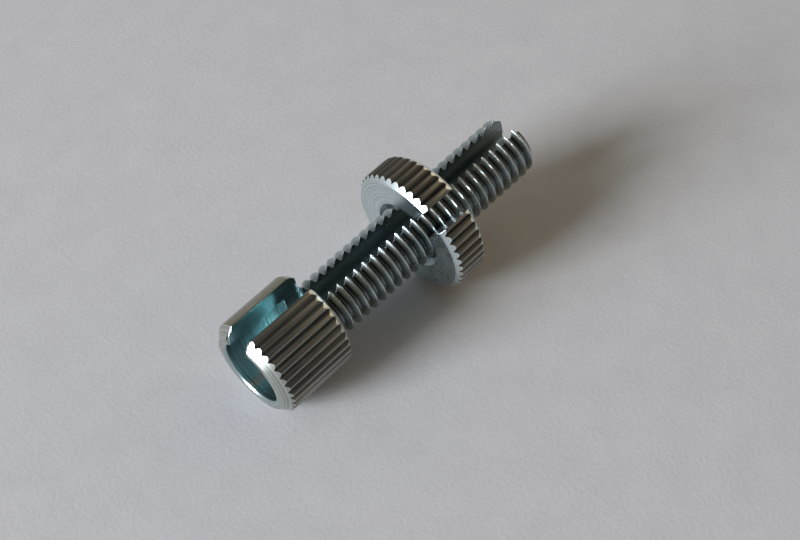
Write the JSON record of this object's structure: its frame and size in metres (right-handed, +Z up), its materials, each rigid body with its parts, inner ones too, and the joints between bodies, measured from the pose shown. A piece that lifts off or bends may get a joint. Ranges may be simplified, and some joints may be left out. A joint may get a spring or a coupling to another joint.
{
  "type": "thumb screw",
  "caption": "Knurled thumb-turned cable adjuster screw, slotted along its length, with a ferrule cup in its head and a slotted knurled lock ring on its threaded stem.",
  "frame": {"origin": "on the surface that it lies on, at the centre of its outline", "axes": "+X from the head towards the tip of the stem, along the surface; +Z up, with the slots uppermost"},
  "size_m": [0.0332, 0.0126, 0.0128],
  "materials": {
    "zinc_screw": "bright zinc plating, knurled head and threaded stem",
    "zinc_ring": "bright zinc plating, knurled edge and turned faces"
  },
  "bodies": {
    "screw": {"adjuster_screw": "zinc_screw"},
    "ring": {"lock_ring": "zinc_ring"}
  },
  "joints": [
    {"name": "ring_travel", "type": "slide", "parent": "screw", "child": "ring", "axis": [0.9964, 0, 0.0853], "range_m": [-0.011, 0.009]}
  ]
}
